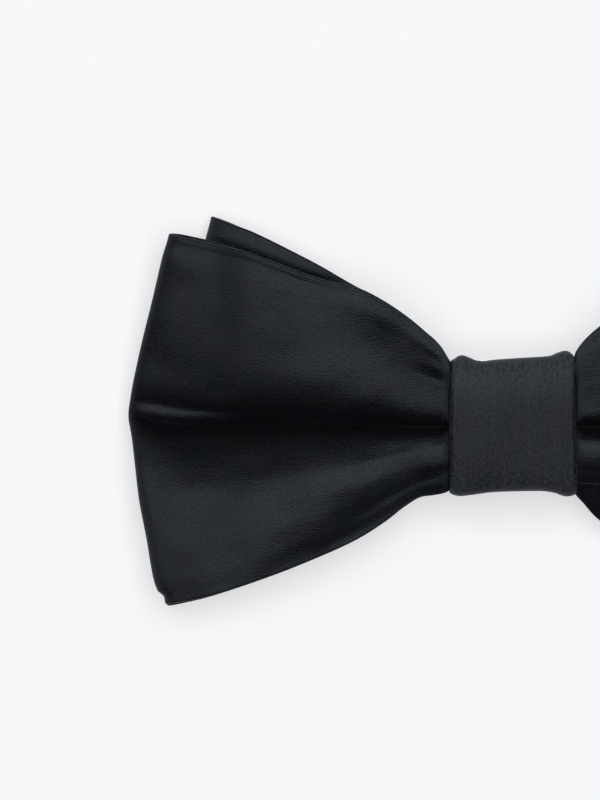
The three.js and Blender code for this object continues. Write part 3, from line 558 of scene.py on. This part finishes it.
def satin_material(name="satin", level=0.28, weave=(1.0, 3.3), specks=(3.4, 4.2), dark=(0.0005, 0.0005, 0.0007, 1), light=(0.0040, 0.0044, 0.0054, 1), spread=(0.38, 0.64), sheen=0.04, painted_top_highlight=False, warm=(1.25, 0.95, 0.97, 1), cool=(0.85, 1.03, 1.08, 1)):
    m, nt, p = new_material(name)
    L = nt.links.new
    vec, s, w = cloth_vector(nt)
    # fine twill: lines that run nearly along the tube, 0.36 mm apart, broken into short floats
    twill = math_node(nt, "SINE", math_node(nt, "ADD", math_node(nt, "MULTIPLY", w, 2 * math.pi / 0.36), math_node(nt, "MULTIPLY", s, 2 * math.pi / 1.05)))
    floats = noise_at(nt, s, w, weave[0], weave[1])
    grain = noise_at(nt, s, w, specks[0], specks[1], 2.0, 0.7)
    broad = noise_at(nt, s, w, 0.07, 0.11, 3.0, 0.55)
    streak = noise_at(nt, s, w, 0.02, 0.9, 2.0, 0.6)
    hgt = math_node(nt, "ADD", math_node(nt, "MULTIPLY", twill, 0.22), math_node(nt, "MULTIPLY", floats, 2.6))
    hgt = math_node(nt, "ADD", hgt, math_node(nt, "MULTIPLY", grain, 1.3))
    bump = node(nt, "ShaderNodeBump", inputs={"Strength": 0.6, "Distance": 0.00003})
    L(hgt, bump.inputs["Height"])
    L(bump.outputs[0], p.inputs["Normal"])
    # colour: near-black with a blue cast, a little uneven from thread to thread
    ramp = node(nt, "ShaderNodeValToRGB")
    ramp.color_ramp.elements[0].position = spread[0]
    ramp.color_ramp.elements[0].color = dark
    ramp.color_ramp.elements[1].position = spread[1]
    ramp.color_ramp.elements[1].color = light
    mixv = math_node(nt, "ADD", math_node(nt, "MULTIPLY", floats, 0.42), math_node(nt, "MULTIPLY", grain, 0.38))
    mixv = math_node(nt, "ADD", mixv, math_node(nt, "MULTIPLY", math_node(nt, "ADD", broad, streak), 0.10))
    L(mixv, ramp.inputs[0])
    # patches a little warmer or cooler than the rest
    hue = node(nt, "ShaderNodeMapRange", inputs={"From Min": 0.40, "From Max": 0.60, "To Min": 0.0, "To Max": 1.0})
    L(noise_at(nt, s, w, 0.16, 0.20, 2.0, 0.6), hue.inputs[0])
    cast = node(nt, "ShaderNodeMix", data_type="RGBA")
    L(hue.outputs[0], cast.inputs["Factor"])
    cast.inputs[6].default_value = warm
    cast.inputs[7].default_value = cool
    tinted = node(nt, "ShaderNodeMix", data_type="RGBA", blend_type="MULTIPLY", inputs={"Factor": 1.0})
    L(ramp.outputs[0], tinted.inputs[6])
    L(cast.outputs[2], tinted.inputs[7])
    # stray specks of pale lint
    spots = node(nt, "ShaderNodeTexVoronoi", inputs={"Scale": 0.17, "Randomness": 1.0})
    L(vec, spots.inputs["Vector"])
    speck = math_node(nt, "LESS_THAN", spots.outputs["Distance"], 0.022)
    mix = node(nt, "ShaderNodeMix", data_type="RGBA")
    L(math_node(nt, "MULTIPLY", speck, 0.5), mix.inputs["Factor"])
    L(tinted.outputs[2], mix.inputs[6])
    mix.inputs[7].default_value = (0.055, 0.058, 0.066, 1)
    base = mix.outputs[2]
    if painted_top_highlight:
        # painted highlight: the base colour is made paler towards the top of the knot and a touch paler at the bottom,
        # standing in for the light its rounded top and bottom catch
        up = node(nt, "ShaderNodeMapRange", interpolation_type="SMOOTHSTEP", inputs={"From Min": -1.0, "From Max": -11.0, "To Min": 0.0, "To Max": 1.0})
        L(s, up.inputs[0])
        down = node(nt, "ShaderNodeMapRange", interpolation_type="SMOOTHSTEP", inputs={"From Min": 6.0, "From Max": 12.0, "To Min": 0.0, "To Max": 0.5})
        L(s, down.inputs[0])
        pale = node(nt, "ShaderNodeMix", data_type="RGBA", blend_type="ADD")
        L(math_node(nt, "MULTIPLY", math_node(nt, "ADD", up.outputs[0], down.outputs[0]), mixv), pale.inputs["Factor"])
        L(base, pale.inputs[6])
        pale.inputs[7].default_value = (0.036, 0.042, 0.051, 1)
        base = pale.outputs[2]
    L(base, p.inputs["Base Color"])
    rough = node(nt, "ShaderNodeMapRange", inputs={"From Min": 0.36, "From Max": 0.64, "To Min": 0.43, "To Max": 0.61})
    L(mixv, rough.inputs[0])
    L(rough.outputs[0], p.inputs["Roughness"])
    # the floats lie across the tube, so its gloss spreads lengthwise
    tan = node(nt, "ShaderNodeTangent", direction_type="UV_MAP", uv_map="cloth")
    L(tan.outputs[0], p.inputs["Tangent"])
    p.inputs["Anisotropic"].default_value = 0.75
    p.inputs["IOR"].default_value = 1.48
    p.inputs["Specular IOR Level"].default_value = level
    p.inputs["Specular Tint"].default_value = (0.74, 0.84, 1.0, 1)
    p.inputs["Sheen Weight"].default_value = sheen
    p.inputs["Sheen Roughness"].default_value = 0.4
    p.inputs["Sheen Tint"].default_value = (0.75, 0.87, 1.0, 1)
    return m


def lining_material():
    m, nt, p = new_material("interlining")
    L = nt.links.new
    vec, _, _ = cloth_vector(nt)
    n = node(nt, "ShaderNodeTexNoise", inputs={"Scale": 2.5, "Detail": 3.0})
    L(vec, n.inputs["Vector"])
    ramp = node(nt, "ShaderNodeValToRGB")
    ramp.color_ramp.elements[0].color = (0.50, 0.47, 0.40, 1)
    ramp.color_ramp.elements[1].color = (0.74, 0.71, 0.63, 1)
    L(n.outputs["Fac"], ramp.inputs[0])
    L(ramp.outputs[0], p.inputs["Base Color"])
    bump = node(nt, "ShaderNodeBump", inputs={"Strength": 0.4, "Distance": 0.00008})
    L(n.outputs["Fac"], bump.inputs["Height"])
    L(bump.outputs[0], p.inputs["Normal"])
    p.inputs["Roughness"].default_value = 0.95
    p.inputs["Sheen Weight"].default_value = 0.2
    return m


def thread_material():
    m, nt, p = new_material("thread")
    L = nt.links.new
    tc = node(nt, "ShaderNodeTexCoord")
    wave = node(nt, "ShaderNodeTexWave", inputs={"Scale": 1800.0, "Distortion": 1.5, "Detail": 1.0})
    wave.bands_direction = "DIAGONAL"
    L(tc.outputs["Object"], wave.inputs["Vector"])
    ramp = node(nt, "ShaderNodeValToRGB")
    ramp.color_ramp.elements[0].color = (0.003, 0.003, 0.004, 1)
    ramp.color_ramp.elements[1].color = (0.014, 0.015, 0.018, 1)
    L(wave.outputs["Fac"], ramp.inputs[0])
    L(ramp.outputs[0], p.inputs["Base Color"])
    bump = node(nt, "ShaderNodeBump", inputs={"Strength": 0.6, "Distance": 0.00005})
    L(wave.outputs["Fac"], bump.inputs["Height"])
    L(bump.outputs[0], p.inputs["Normal"])
    p.inputs["Roughness"].default_value = 0.6
    return m


def nickel_material(name, rough=0.26, dark=1.0):
    m, nt, p = new_material(name)
    L = nt.links.new
    tc = node(nt, "ShaderNodeTexCoord")
    mp = node(nt, "ShaderNodeMapping", inputs={"Scale": (90.0, 5200.0, 5200.0)})
    L(tc.outputs["Object"], mp.inputs["Vector"])
    streak = node(nt, "ShaderNodeTexNoise", inputs={"Scale": 1.0, "Detail": 3.0, "Roughness": 0.6})
    L(mp.outputs[0], streak.inputs["Vector"])
    blot = node(nt, "ShaderNodeTexNoise", inputs={"Scale": 420.0, "Detail": 4.0, "Roughness": 0.65})
    L(tc.outputs["Object"], blot.inputs["Vector"])
    ramp = node(nt, "ShaderNodeValToRGB")
    ramp.color_ramp.elements[0].position = 0.25
    ramp.color_ramp.elements[0].color = (0.53 * dark, 0.52 * dark, 0.50 * dark, 1)
    ramp.color_ramp.elements[1].position = 0.7
    ramp.color_ramp.elements[1].color = (0.62 * dark, 0.61 * dark, 0.59 * dark, 1)
    L(blot.outputs["Fac"], ramp.inputs[0])
    L(ramp.outputs[0], p.inputs["Base Color"])
    mr = node(nt, "ShaderNodeMapRange", inputs={"From Min": 0.3, "From Max": 0.7, "To Min": rough - 0.03, "To Max": rough + 0.06})
    L(streak.outputs["Fac"], mr.inputs[0])
    L(mr.outputs[0], p.inputs["Roughness"])
    bump = node(nt, "ShaderNodeBump", inputs={"Strength": 0.12, "Distance": 0.00001})
    L(streak.outputs["Fac"], bump.inputs["Height"])
    L(bump.outputs[0], p.inputs["Normal"])
    p.inputs["Metallic"].default_value = 1.0
    return m


def rubber_material():
    m, nt, p = new_material("jaw_pad")
    L = nt.links.new
    tc = node(nt, "ShaderNodeTexCoord")
    n = node(nt, "ShaderNodeTexNoise", inputs={"Scale": 2600.0, "Detail": 3.0})
    L(tc.outputs["Object"], n.inputs["Vector"])
    ramp = node(nt, "ShaderNodeValToRGB")
    ramp.color_ramp.elements[0].color = (0.010, 0.010, 0.011, 1)
    ramp.color_ramp.elements[1].color = (0.030, 0.030, 0.031, 1)
    L(n.outputs["Fac"], ramp.inputs[0])
    L(ramp.outputs[0], p.inputs["Base Color"])
    bump = node(nt, "ShaderNodeBump", inputs={"Strength": 0.5, "Distance": 0.00004})
    L(n.outputs["Fac"], bump.inputs["Height"])
    L(bump.outputs[0], p.inputs["Normal"])
    p.inputs["Roughness"].default_value = 0.75
    return m


satin = satin_material()
# the knot's satin carries a painted highlight: its colour is paler towards the top of the knot and a touch at the
# bottom
band_satin = satin_material("band_satin", 0.15, (2.5, 2.0), (1.9, 2.3), (0.0006, 0.0006, 0.0008, 1), (0.0165, 0.0172, 0.0190, 1), (0.43, 0.57), 0.05, painted_top_highlight=True, warm=(1.06, 0.98, 0.99, 1), cool=(0.95, 1.0, 1.02, 1))
lining = lining_material()
thread = thread_material()
nickel = nickel_material("nickel")
wire = nickel_material("spring_wire", 0.32, 0.85)
rubber = rubber_material()

for ob, mat in ((front_bow, satin), (back_bow, satin), (knot_band, band_satin), (front_lining, lining), (back_lining, lining), (knot_lining, lining)):
    ob.data.materials.append(mat)
for name, mat in (("gather_thread", thread), ("front_bow_seam_thread", thread), ("back_bow_seam_thread", thread), ("knot_seam_thread", thread),
                  ("clip_plate", nickel), ("clip_hinge_pin", nickel), ("clip_lever", nickel), ("clip_jaw_pad", rubber)):
    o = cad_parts[name]
    o.data.materials.clear()
    o.data.materials.append(mat)

# --------------------------------------------------------------- the spring
# A copy of the clip spring's shape, which takes the place of the hidden CAD spring.
def same_shape(name, node_):
    me = bpy.data.meshes.new(name)
    m = node_.matrix_world
    me.from_pydata([tuple(m @ v.co) for v in node_.data.vertices], [], [tuple(p.vertices) for p in node_.data.polygons])
    me.update()
    for p in me.polygons:
        p.use_smooth = True
    ob = bpy.data.objects.new(name, me)
    bpy.context.scene.collection.objects.link(ob)
    return ob


spring = same_shape("spring_coil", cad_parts["clip_spring"])
spring.data.materials.append(wire)
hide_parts("clip_spring")
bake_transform(spring)

# ------------------------------------------------------------ floor, lights
def cove(radius=2.6, fillet=0.3, top=0.36, steps=96):
    """A round studio floor that curves up into a wall, well away from the bow."""
    prof = [(0.05, 0.0), (0.4, 0.0), (1.0, 0.0), (radius - fillet, 0.0)]
    prof += [(radius - fillet + fillet * math.sin(a), fillet - fillet * math.cos(a)) for a in np.radians(np.arange(10, 91, 10))]
    prof.append((radius, top))
    verts, faces = [(0, 0, -0.00001)], []
    for r, z in prof:
        verts += [(r * math.cos(t), r * math.sin(t), z - 0.00001) for t in np.linspace(0, 2 * math.pi, steps, endpoint=False)]
    for k in range(steps):
        faces.append((0, 1 + k, 1 + (k + 1) % steps))
    for i in range(len(prof) - 1):
        for k in range(steps):
            a, b = 1 + i * steps + k, 1 + i * steps + (k + 1) % steps
            faces.append((a, a + steps, b + steps, b))
    me = bpy.data.meshes.new("floor")
    me.from_pydata(verts, [], faces)
    me.update()
    for p in me.polygons:
        p.use_smooth = True
    ob = bpy.data.objects.new("floor", me)
    bpy.context.scene.collection.objects.link(ob)
    return ob


floor = cove()
fm, nt, p = new_material("floor")
p.inputs["Base Color"].default_value = (0.42, 0.427, 0.436, 1)
p.inputs["Emission Color"].default_value = (0.985, 0.993, 1.0, 1)
p.inputs["Emission Strength"].default_value = 0.52
p.inputs["Roughness"].default_value = 0.9
p.inputs["Specular IOR Level"].default_value = 0.1
floor.data.materials.append(fm)

world = bpy.data.worlds.new("world")
bpy.context.scene.world = world
world.use_nodes = True
bg = world.node_tree.nodes["Background"]
bg.inputs["Color"].default_value = (0.97, 0.985, 1.0, 1)
bg.inputs["Strength"].default_value = 0.05


def area(name, loc, size, power, look=(0, 0, 0), color=(1, 1, 1)):
    d = bpy.data.lights.new(name, "AREA")
    d.shape = "SQUARE"
    d.size = size
    d.energy = power
    d.color = color
    o = bpy.data.objects.new(name, d)
    o.location = loc
    v = np.array(look, float) - np.array(loc, float)
    from mathutils import Vector
    o.rotation_euler = Vector(v).to_track_quat("-Z", "Y").to_euler()
    bpy.context.scene.collection.objects.link(o)
    return o


area("overhead", (-0.03, 0.09, 1.10), 0.85, 13.3, look=(-0.03, 0, 0))
bpy.context.scene.view_settings.view_transform = "Standard"
bpy.context.scene.view_settings.look = "None"

# ------------------------------------------------------------- frame wiring
for ob, slot, nodes_ in (
    (front_bow, "satin", ["front_bow_satin"]), (front_lining, "interlining", ["front_bow_interlining"]),
    (back_bow, "satin", ["back_bow_satin"]), (back_lining, "interlining", ["back_bow_interlining"]),
    (knot_band, "satin", ["knot_band_satin"]), (knot_lining, "interlining", ["knot_band_interlining"]),
):
    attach(ob, "bow")
    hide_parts(*nodes_)
